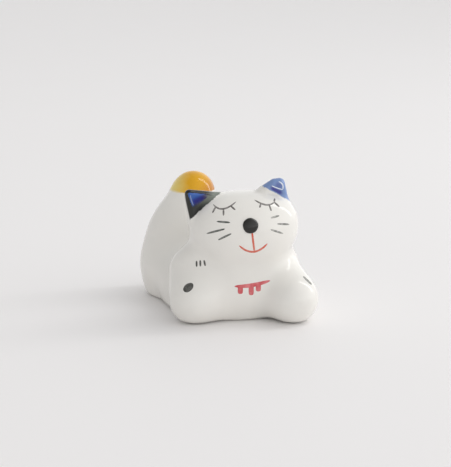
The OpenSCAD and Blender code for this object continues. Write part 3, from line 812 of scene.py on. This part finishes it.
def combine(tree, operation, first, second):
    """Result of a sum on two sockets or numbers, kept from 0 to 1"""
    return add_node(tree, "ShaderNodeMath",
                    {"operation": operation, "use_clamp": True, 0: first, 1: second}).outputs[0]


def glazed(tree, colour, roughness, reflection, ripple_mm, depth_mm):
    """Surface of a glaze or an enamel that ran a little as it melted"""
    bump = add_node(tree, "ShaderNodeBump", {"Distance": depth_mm * MM, "Height": grain(tree, ripple_mm)})
    surface(tree, {"Base Color": colour, "Roughness": roughness, "IOR": GLAZE_IOR,
                   "Specular IOR Level": reflection, "Normal": bump.outputs["Normal"]})


def white_body(tree):
    """Colour of the porcelain under clear glaze, a little cooler where the glaze is thick"""
    c = settings().colours
    return mix(tree, grain(tree, CLOUDS["white"]), c.porcelain, c.porcelain_cool)


def clear_glazed_porcelain():
    """Porcelain, slip cast, sponged and dipped in clear glaze: white, glossy and very slightly uneven"""
    c = settings().colours
    material, tree = new_material("clear_glazed_porcelain")
    # The foot is wiped bare before firing, up to where the sides begin to round
    bare = along(tree, (0, 0, 0), -UP, "bare_foot")
    stone = mix(tree, grain(tree, CLOUDS["biscuit"], 4), c.biscuit, c.porcelain)
    gloss, *others = FINISHES["clear"]
    roughness = add_node(tree, "ShaderNodeMapRange",
                         {"To Min": gloss, "To Max": BISCUIT_ROUGHNESS, "Value": bare}).outputs["Result"]
    glazed(tree, mix(tree, bare, white_body(tree), stone), roughness, *others)
    return material


def amber_glaze():
    """Iron amber glaze, brushed over white: thin and yellow on one side, deep orange on the other"""
    c = settings().colours
    material, tree = new_material("iron_amber_glaze")
    tip, foot = place(LIMBS["tail"][1]), amber_plane()[0]
    thin = along(tree, tip, slant(1, 0), "amber_thin")
    cloud = combine(tree, "MULTIPLY", grain(tree, CLOUDS["amber"], 3), AMBER_CLOUD)
    body = mix(tree, combine(tree, "ADD", thin, cloud), c.amber_pale, c.amber)
    body = mix(tree, along(tree, tip, slant(*AMBER_COURSE), "amber_thick"), body, c.amber_deep)
    # The lower edge of the glaze is feathered, most on the thin side
    feather = combine(tree, "ADD", along(tree, foot, UP, "amber_feather"), thin)
    edge = both(tree, along(tree, foot, UP, "amber_edge"), feather)
    glazed(tree, mix(tree, edge, white_body(tree), body), *FINISHES["amber"])
    return material


def seen(name, x, y):
    """Point a number of millimetres right of and above an ear's tip in the brush's view"""
    right, up = brush_axes()[:2]
    return ear_corners(name)[0] + right * x + up * y


def glaze_edge(name):
    """Start of the lower edge of an ear's glaze, the way along it, and the way from it towards the tip"""
    start, end = (seen(name, x, y) for x, y in GLAZE_EDGES[name])
    course = unit(end - start)
    return start, course, unit(np.cross(course, brush_axes()[2]))


def ear_cover(tree, name):
    """Share of an ear's glaze: it ends at its lower edge, and behind the rounded rim"""
    start, _, inward = glaze_edge(name)
    corners = ear_corners(name)
    return both(tree, along(tree, start, inward, "ear_edge"),
                along(tree, corners[0], ear_out(corners), "ear_back"))


def brushed_charcoal(tree):
    """Colour of the charcoal glaze: black on the upper edge, and a thin grey wash at the inner corner"""
    c = settings().colours
    start, course, inward = glaze_edge("right_ear")
    wash = both(tree, along(tree, start, course, "wash_start"), along(tree, start, inward, "wash_edge"))
    tip = ear_corners("right_ear")[0]
    rim = both(tree, along(tree, tip, slant(*RIM_COURSE), "rim"), along(tree, tip, slant(-1, 0), "rim_end"))
    return mix(tree, rim, mix(tree, wash, c.charcoal, c.charcoal_pale), c.charcoal_rim)


def charcoal_glaze():
    """Manganese charcoal glaze, brushed on an ear's front: glossy, thick on the rim and thin at its foot"""
    material, tree = new_material("charcoal_glaze")
    # The side of the ear stays white below the tip
    side = along(tree, seen("right_ear", *WHITE_SIDE), slant(*WHITE_SIDE_COURSE), "white_side")
    cover = both(tree, ear_cover(tree, "right_ear"), side)
    glazed(tree, mix(tree, cover, white_body(tree), brushed_charcoal(tree)), *FINISHES["charcoal"])
    return material


def cobalt_glaze():
    """Cobalt glaze that pooled in the right ear: ink blue in the middle, lost in charcoal below"""
    c = settings().colours
    material, tree = new_material("cobalt_glaze")
    middle = seen("right_ear", *POOL_MIDDLE)
    x, y = POOL_COURSE
    course, rise = slant(x, y), slant(-y, x)
    deep = both(tree, along(tree, middle, -rise, "deep_top"), along(tree, middle, course, "deep_start"))
    inked = mix(tree, along(tree, middle, course, "violet"), c.cobalt_deep, c.violet)
    fade = both(tree, along(tree, middle, rise, "pool_foot"), along(tree, middle, -course, "pool_end"))
    blue = mix(tree, deep, c.cobalt, inked)
    glazed(tree, mix(tree, fade, brushed_charcoal(tree), blue), *FINISHES["cobalt"])
    return material


def pale_cobalt_glaze():
    """Cobalt glaze brushed thinly on the left ear: steel blue, indigo where it ran together"""
    c = settings().colours
    material, tree = new_material("pale_cobalt_glaze")
    start, course, inward = glaze_edge("left_ear")

    def area(name, depth):
        """Share of a patch of the glaze that lies between its four sides"""
        sides = ((inward, "_foot"), (-inward, "_top"), (course, "_start"), (-course, "_end"))
        return both(tree, *(along(tree, start, way, name + side) for way, side in sides), depth)

    thick = combine(tree, "ADD", area("indigo", INDIGO_SHARE), area("dish", DISH_SHARE))
    blue = mix(tree, thick, c.steel, c.indigo)
    cover = ear_cover(tree, "left_ear")
    glazed(tree, mix(tree, cover, white_body(tree), blue), *FINISHES["cobalt"])
    return material


def enamel(name):
    """Overglaze enamel or thin glaze laid with a fine brush: it varies with how much the brush left"""
    *shades, blotch, roughness = ENAMELS[name]
    first, second = (lighter(getattr(settings().colours, colour), share) for colour, share in shades)
    material, tree = new_material(name)
    low, high = BLOTCHES
    share = add_node(tree, "ShaderNodeMapRange",
                     {"From Min": low, "From Max": high, "Value": grain(tree, blotch, 3)}).outputs["Result"]
    glazed(tree, mix(tree, share, first, second), roughness, ENAMEL_REFLECTION, blotch, ENAMEL_RIPPLE)
    return material


def lighter(colour, share):
    """Colour moved towards the porcelain's by a share, as where enamel is thin"""
    base = settings().colours.porcelain
    return [c + (b - c) * share for c, b in zip(colour, base)]


def touch(seat, places):
    """Points on the glaze under places on the brush's plane through the middle of a seat"""
    share, radius = SEATS[seat]
    right, up, away = brush_axes()
    flat = np.asarray(places, float) * radius
    over = place(share) + flat[..., :1] * right + flat[..., 1:] * up - away * mm(settings().cat.length)
    return land(whole_form, over, away)


def open_edges(skin):
    """Edges that only one face of a skin has"""
    edges = {edge for face in skin for edge in zip(face, face[1:] + face[:1])}
    return sorted((a, b) for a, b in edges if (b, a) not in edges)


def layer_piece(name, layers):
    """Object from thin closed layers on the glaze, each given as points, faces and heights above it"""
    corners, faces = [], []
    for points, skin, lifts in layers:
        base, count = len(corners), len(points)
        out = unit(slope(whole_form, points))
        corners += list(points + out * lifts[:, None]) + list(points - out * mm(settings().paint.sunk))
        skin = [tuple(base + i for i in face) for face in skin]
        faces += skin + [tuple(i + count for i in reversed(face)) for face in skin]
        faces += [(b, a, a + count, b + count) for a, b in open_edges(skin)]
    solid = solid_from(np.array(corners) * MM, faces)
    bmesh.ops.recalc_face_normals(solid, faces=solid.faces)
    mesh = bpy.data.meshes.new(name)
    solid.to_mesh(mesh)
    solid.free()
    mesh.polygons.foreach_set("use_smooth", np.ones(len(mesh.polygons), bool))
    return new_object(name, mesh)


def painted(name, layers, node, material):
    """Piece painted on the glaze, in its place in the frame"""
    finish_piece(layer_piece(name, layers), node, material)


def ear_coat(solid, name):
    """Layer of glaze over an ear, a little wider than its colour; its rim dips under the surface"""
    paint = settings().paint
    start, _, inward = glaze_edge(name)
    corners = ear_corners(name)
    centres = np.array([f.calc_center_median() for f in solid.faces])
    inside = np.abs(ear_form(centres, name)) < COAT_DEPTH
    inside &= (centres - start) @ inward > -COAT_SPREAD
    inside &= (centres - corners[0]) @ ear_out(corners) > -COAT_DEPTH
    kept = [tuple(v.index for v in f.verts) for f, keep in zip(solid.faces, inside) if keep]
    used = sorted({i for face in kept for i in face})
    number = {old: new for new, old in enumerate(used)}
    skin = [tuple(number[i] for i in face) for face in kept]
    solid.verts.ensure_lookup_table()
    points = np.array([solid.verts[i].co for i in used])
    lifts = np.full(len(points), mm(paint.ear_coat))
    lifts[[i for edge in open_edges(skin) for i in edge]] = -mm(paint.sunk) * DIP_SHARE
    piece = layer_piece(name + "_glaze", [(points, skin, lifts)])
    smooth_normals(piece.data, whole_form)
    return piece


def bend(path, t):
    """Points of a straight or bent path"""
    path = np.array(path, float)
    t = np.asarray(t)[:, None]
    if len(path) == 2:
        return path[0] * (1 - t) + path[1] * t
    pull = path[1] * 2 - (path[0] + path[2]) / 2
    return path[0] * (1 - t) ** 2 + pull * 2 * t * (1 - t) + path[2] * t * t


def stroke(seat, path, width_mm, lift_mm, taper=TAPER, steps=26, columns=7):
    """One stroke of the brush along a path, thinner towards its ends: points, faces and heights"""
    t = (1 - np.cos(np.linspace(0, math.pi, steps))) / 2
    line = bend(path, t)
    ahead = bend(path, t + PROBE) - bend(path, t - PROBE)
    side = unit(np.stack([-ahead[:, 1], ahead[:, 0]], 1))
    ends = taper[0] + (taper[1] - taper[0]) * t
    full = ends + (1 - ends) * np.sqrt(np.sin(math.pi * t).clip(0))
    # Both ends are rounded over a few steps
    rounded = np.sqrt(1 - np.clip(1 - np.minimum(t, 1 - t) * steps / 3, 0, 1) ** 2)
    half = width_mm / 2 / SEATS[seat][1] * full * np.maximum(rounded, END_WIDTH_SHARE)
    reach = np.linspace(-1, 1, columns)
    places = line[:, None] + side[:, None] * (half[:, None] * reach)[..., None]
    dome = np.sqrt(1 - reach ** 2 * STROKE_DROP)
    lifts = lift_mm * dome[None] * np.sqrt(np.maximum(rounded, END_HEIGHT_SHARE))[:, None]
    skin = [(i * columns + j, i * columns + j + 1, (i + 1) * columns + j + 1, (i + 1) * columns + j)
            for i in range(steps - 1) for j in range(columns - 1)]
    return touch(seat, places).reshape(-1, 3), skin, lifts.ravel()


def patch(seat, middle, outline, share, dome):
    """Patch of glaze inside an outline: rings of points from its middle, faces and heights"""
    rings, sides = len(share), len(outline)
    spots = np.array(middle) + np.array(outline)[None] * share[:, None, None]
    places = np.concatenate([np.array([middle], float), spots.reshape(-1, 2)])
    skin = [(0, 1 + j, 1 + (j + 1) % sides) for j in range(sides)]
    skin += [(1 + i * sides + j, 1 + (i + 1) * sides + j, 1 + (i + 1) * sides + (j + 1) % sides,
              1 + i * sides + (j + 1) % sides) for i in range(rings - 1) for j in range(sides)]
    return touch(seat, places), skin, np.concatenate([dome[:1], np.repeat(dome, sides)])


def dab(seat, at, long_mm, short_mm, turn, lift_mm, rings=9, sides=48):
    """One dab of the brush, nearly an ellipse"""
    share = np.sin(np.linspace(0, math.pi / 2, rings + 1))[1:]
    angle = np.linspace(0, 2 * math.pi, sides, endpoint=False)
    wobble = 1 + sum(far * np.sin(times * angle + start) for far, times, start in WOBBLES)
    local = np.stack([np.cos(angle) * long_mm, np.sin(angle) * short_mm], -1) * wobble[:, None]
    local /= SEATS[seat][1]
    turn = math.radians(turn)
    turned = local @ np.array([[math.cos(turn), math.sin(turn)], [-math.sin(turn), math.cos(turn)]])
    return patch(seat, at, turned, share, lift_mm * np.sqrt(1 - share ** 2 * DAB_DROP))


def rounded_pool(seat, corners, edge_mm, lift_mm, rings=12, steps=10):
    """Pool of glaze inside three corners, with rounded edges"""
    corners = np.array(corners)
    middle = corners.mean(0)
    edge = edge_mm / SEATS[seat][1]
    outline = []
    for i, corner in enumerate(corners):
        span = corners[(i + 1) % 3] - corner
        before, after = unit(corner - corners[i - 1]), unit(span)
        side = np.sign(before[0] * after[1] - before[1] * after[0])
        start, end = np.array([before[1], -before[0]]) * side, np.array([after[1], -after[0]]) * side
        base = corner - middle
        outline += [base + unit(start * (1 - t) + end * t) * edge for t in np.linspace(0, 1, steps)]
        outline += [base + end * edge + span * t for t in np.linspace(0, 1, steps + 2)[1:-1]]
    share = np.linspace(0, 1, rings + 1)[1:]
    return patch(seat, middle, outline, share, lift_mm * (1 - share ** POOL_FLATNESS * POOL_DROP))


class CatRestOperator(bpy.types.Operator):
    """Shared base of the operators that make the pieces"""
    bl_options = {"REGISTER", "UNDO"}


class CATREST_OT_porcelain(CatRestOperator):
    """Cast the body, head, forelegs, tail and ears, and lay the coloured glazes on the tail and the ears"""
    bl_idname = "cat_rest.porcelain"
    bl_label = "Porcelain"

    def execute(self, context):
        step = mm(settings().cat.step)
        low, high = (np.array(corner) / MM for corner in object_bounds())
        margin = step * MARGIN_STEPS
        whole = solid_from(*grid_skin(whole_form, low - margin, high + margin, step))
        whole.verts.index_update()
        coats = {name: ear_coat(whole, name) for name in EARS}
        solids = self.cut_up(whole)
        glaze = clear_glazed_porcelain()
        for node in PORCELAIN:
            piece = cast_piece(solids[node], node + "_porcelain")
            if node == "body":
                self.hollow_out(piece)
            smooth_normals(piece.data, whole_form)
            finish_piece(piece, node, glaze)
        piece = cast_piece(solids["tail_tip_glaze"], "tail_tip_amber")
        smooth_normals(piece.data, whole_form)
        finish_piece(piece, "tail_tip_glaze", amber_glaze())
        finish_piece(coats["right_ear"], "right_ear_rim_glaze", charcoal_glaze())
        finish_piece(coats["left_ear"], "left_ear_blue_glaze", pale_cobalt_glaze())
        return {"FINISHED"}

    def cut_up(self, whole):
        """Closed solid of each node, cut off the whole cat one after another"""
        length, neck_y = mm(settings().cat.length), place(NECK_SHARE)[1]
        head_back, leg_back = neck_y + HEAD_BACK_SHARE * length, neck_y + LEG_BACK_SHARE * length
        planes = luting_planes()
        solids = {"body": whole}
        for node, host, plane, near in (
                ("foot", "body", (np.zeros(3), -UP), lambda p: True),
                ("head", "body", planes["head"], lambda p: p[1] < head_back),
                ("right_foreleg", "body", planes["right_foreleg"], lambda p: p[1] < leg_back),
                ("left_foreleg", "body", planes["left_foreleg"], lambda p: p[1] < leg_back),
                ("tail", "body", planes["tail"], lambda p: p[1] > head_back),
                ("tail_tip_glaze", "tail", amber_plane(), lambda p: True),
                ("right_ear", "head", ear_plane("right_ear"), lambda p: p[0] < 0),
                ("left_ear", "head", ear_plane("left_ear"), lambda p: p[0] > 0)):
            solids[node], solids[host] = take_off(solids[host], plane, near)
        solids.pop("foot").free()
        return solids

    def hollow_out(self, piece):
        """Takes the hollow and the vent hole out of the body"""
        s = settings().cat
        low, high = (np.array(corner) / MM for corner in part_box("body"))
        corners, quads = grid_skin(hollow_form, low, high, mm(s.step) * HOLLOW_STEPS)
        cut_away(piece, cast_piece(solid_from(corners, quads), "hollow"))
        vent = bmesh.new()
        bmesh.ops.create_cone(vent, cap_ends=True, segments=VENT_SIDES, radius1=mm(s.vent),
                              radius2=mm(s.vent), depth=mm(s.wall) * CUTTER_WALLS)
        bmesh.ops.translate(vent, vec=Vector(place(VENT_SHARE)), verts=vent.verts)
        cut_away(piece, cast_piece(vent, "vent"))


class CATREST_OT_cobalt_pools(CatRestOperator):
    """Pool the cobalt glaze in the right ear, and lay pale strokes on raised ridges of both ears as painted
    highlights
    """
    bl_idname = "cat_rest.cobalt_pools"
    bl_label = "Cobalt Pools"

    def execute(self, context):
        paint = settings().paint
        pool = rounded_pool("face", POOL, mm(paint.pool_edge), mm(paint.pool_raised))
        painted("right_ear_cobalt_pool", [pool], "right_ear_blue_glaze", cobalt_glaze())
        ridge = stroke("face", POOL_REFLECTION_RIDGE, mm(paint.ridge), mm(paint.right_reflection_ridge))
        painted("right_ear_ridge_painted_reflection", [ridge], "right_ear_blue_glaze",
                enamel("painted_reflection_cobalt"))
        ridges = [stroke("face", path, mm(paint.ridge), mm(paint.left_highlight_ridge), HIGHLIGHT_RIDGE_TAPER)
                  for path in LEFT_HIGHLIGHT_RIDGES]
        painted("left_ear_ridges_painted_highlight", ridges, "left_ear_blue_glaze",
                enamel("painted_highlight_cobalt"))
        return {"FINISHED"}


class CATREST_OT_nose(CatRestOperator):
    """Dab the black nose on"""
    bl_idname = "cat_rest.nose"
    bl_label = "Nose"

    def execute(self, context):
        paint = settings().paint
        nose = dab("face", NOSE, mm(paint.nose), mm(paint.nose), 0, mm(paint.nose_raised))
        painted("black_nose", [nose], "nose", enamel("black_enamel"))
        return {"FINISHED"}


class CATREST_OT_eyelids(CatRestOperator):
    """Draw the closed eyelids with their lashes"""
    bl_idname = "cat_rest.eyelids"
    bl_label = "Eyelids"

    def execute(self, context):
        paint = settings().paint
        grey = enamel("grey_enamel")
        for side, lid, lashes in (("right", RIGHT_LID, RIGHT_LASHES), ("left", LEFT_LID, LEFT_LASHES)):
            strokes = [stroke("face", path, mm(paint.line), mm(paint.raised)) for path in (lid, *lashes)]
            painted(side + "_eyelid_line", strokes, side + "_eyelid", grey)
        return {"FINISHED"}


class CATREST_OT_whiskers(CatRestOperator):
    """Draw the six whiskers"""
    bl_idname = "cat_rest.whiskers"
    bl_label = "Whiskers"

    def execute(self, context):
        paint = settings().paint
        dark, faint = enamel("green_grey_enamel"), enamel("thin_grey_enamel")
        for node, path in WHISKERS.items():
            line = stroke("face", path, mm(paint.whisker), mm(paint.raised))
            painted(node + "_line", [line], node,
                    dark if node.startswith("right") else faint)
        return {"FINISHED"}


class CATREST_OT_mouth(CatRestOperator):
    """Draw the smiling mouth"""
    bl_idname = "cat_rest.mouth"
    bl_label = "Mouth"

    def execute(self, context):
        paint = settings().paint
        strokes = [stroke("face", path, mm(paint.mouth), mm(paint.raised), MOUTH_TAPER)
                   for path in (MOUTH_CURVE, MOUTH_LINE)]
        painted("mouth_line", strokes, "mouth", enamel("red_enamel"))
        return {"FINISHED"}


class CATREST_OT_bib(CatRestOperator):
    """Paint the pink bib with its three drips"""
    bl_idname = "cat_rest.bib"
    bl_label = "Bib"

    def execute(self, context):
        paint = settings().paint
        strokes = [stroke("chest", BIB, mm(paint.bib), mm(paint.raised), BIB_TAPER)]
        strokes += [stroke("chest", path, mm(paint.drip), mm(paint.raised), DRIP_TAPER)
                    for path in BIB_DRIPS]
        painted("pink_bib", strokes, "bib", enamel("rose_enamel"))
        return {"FINISHED"}


class CATREST_OT_leg_marks(CatRestOperator):
    """Paint the stripes and the spot on the forelegs"""
    bl_idname = "cat_rest.leg_marks"
    bl_label = "Leg Marks"

    def execute(self, context):
        paint = settings().paint
        dark, raised = enamel("charcoal_enamel"), mm(paint.raised)
        stripes = [stroke("right_shoulder", path, mm(paint.stripe), raised) for path in LEG_STRIPES]
        painted("right_leg_stripe_lines", stripes, "right_leg_stripes", dark)
        spot = dab("right_paw", SPOT, mm(paint.spot_long), mm(paint.spot_short), SPOT_TURN, raised)
        painted("right_leg_spot_dab", [spot], "right_leg_spot", dark)
        line = stroke("left_paw", LEFT_STRIPE, mm(paint.whisker), raised)
        painted("left_leg_stripe_line", [line], "left_leg_stripe",
                enamel("faint_grey_enamel"))
        return {"FINISHED"}


class CATREST_OT_stage(CatRestOperator):
    """Set the floor, the lights and the camera"""
    bl_idname = "cat_rest.stage"
    bl_label = "Stage"

    def execute(self, context):
        self.floor()
        self.sky()
        self.window()
        self.camera()
        context.scene.view_settings.view_transform = "Standard"
        return {"FINISHED"}

    def floor(self):
        """Matt white board, a little uneven in tone, which takes the soft shadow"""
        c, half = settings().colours, settings().stage.floor_half
        mesh = bpy.data.meshes.new("floor")
        corners = [(-half, -half, 0), (half, -half, 0), (half, half, 0), (-half, half, 0)]
        mesh.from_pydata(corners, [], [(0, 1, 2, 3)])
        floor = new_object("floor", mesh)
        material, tree = new_material("matt_white_board")
        shade = mix(tree, grain(tree, CLOUDS["floor"]), c.floor, lighter(c.floor, FLOOR_CLOUD))
        surface(tree, {"Base Color": shade, "Roughness": BOARD_ROUGHNESS, "IOR": BOARD_IOR})
        mesh.materials.append(material)
        floor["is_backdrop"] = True

    def sky(self):
        """Even light from all round that is stronger on one side"""
        stage = settings().stage
        world = bpy.data.worlds.new("studio")
        bpy.context.scene.world = world
        world.use_nodes = True
        tree = world.node_tree
        tree.nodes.clear()
        side = add_node(tree, "ShaderNodeTexCoord").outputs["Generated"]
        more = add_node(tree, "ShaderNodeVectorMath",
                        {"operation": "DOT_PRODUCT", 0: side, 1: tuple(stage_vector(stage.lean))})
        strength = add_node(tree, "ShaderNodeMath",
                            {"operation": "ADD", 0: more.outputs["Value"], 1: stage.fill}).outputs[0]
        sky = add_node(tree, "ShaderNodeBackground", {"Color": settings().colours.sky, "Strength": strength})
        add_node(tree, "ShaderNodeOutputWorld", {"Surface": sky.outputs["Background"]})

    def window(self):
        """Tall window behind the cat's left side, which draws the bright streaks on the glaze"""
        stage = settings().stage
        light = bpy.data.lights.new("window", "AREA")
        light.shape = "RECTANGLE"
        light.size, light.size_y = stage.window_width, stage.window_height
        light.energy = stage.window
        lamp = new_object("window", light)
        lamp.location = stage_vector(stage.window_at)
        towards = Vector(UP * stage.window_aim) - lamp.location
        lamp.rotation_euler = towards.to_track_quat("-Z", "Y").to_euler()

    def camera(self):
        """Camera that looks at the cat the way the brush does"""
        stage = settings().stage
        right, up, away = brush_axes()
        data = bpy.data.cameras.new("camera")
        data.sensor_fit = "HORIZONTAL"
        data.sensor_width = SENSOR
        data.lens = stage.lens
        data.clip_start = NEAREST
        camera = new_object("camera", data)
        camera.location = np.array(stage.aim) @ (right, away, up) - away * stage.distance
        camera.rotation_euler = Vector(away).to_track_quat("-Z", "Y").to_euler()
        bpy.context.scene.camera = camera


class CatRest(bpy.types.PropertyGroup):
    """All settings of the chopstick rest"""
    cat: PointerProperty(type=CatSizes, name="Porcelain")
    paint: PointerProperty(type=PaintSizes, name="Paint")
    colours: PointerProperty(type=CatColours, name="Colours")
    stage: PointerProperty(type=StageSizes, name="Stage")


OPERATORS = (CATREST_OT_porcelain, CATREST_OT_cobalt_pools, CATREST_OT_nose, CATREST_OT_eyelids,
             CATREST_OT_whiskers, CATREST_OT_mouth, CATREST_OT_bib, CATREST_OT_leg_marks, CATREST_OT_stage)


class CATREST_PT_panel(bpy.types.Panel):
    """Lists the operators and the settings of the chopstick rest"""
    bl_idname = "CATREST_PT_panel"
    bl_label = "Chopstick Rest"
    bl_space_type = "VIEW_3D"
    bl_region_type = "UI"
    bl_category = "Chopstick Rest"

    def draw(self, context):
        layout = self.layout
        for operator in OPERATORS:
            layout.operator(operator.bl_idname)
        for name in ("cat", "paint", "colours", "stage"):
            group = getattr(context.scene.cat_rest, name)
            box = layout.box()
            for key in group.bl_rna.properties.keys():
                if key not in ("rna_type", "name"):
                    box.prop(group, key)


CLASSES = (CatSizes, PaintSizes, CatColours, StageSizes, CatRest, *OPERATORS, CATREST_PT_panel)


def register():
    for cls in CLASSES:
        bpy.utils.register_class(cls)
    bpy.types.Scene.cat_rest = PointerProperty(type=CatRest)


def unregister():
    del bpy.types.Scene.cat_rest
    for cls in reversed(CLASSES):
        bpy.utils.unregister_class(cls)


def main():
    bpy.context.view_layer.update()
    register()
    for operator in OPERATORS:
        group, name = operator.bl_idname.split(".")
        getattr(getattr(bpy.ops, group), name)()


if __name__ == "__main__":
    main()
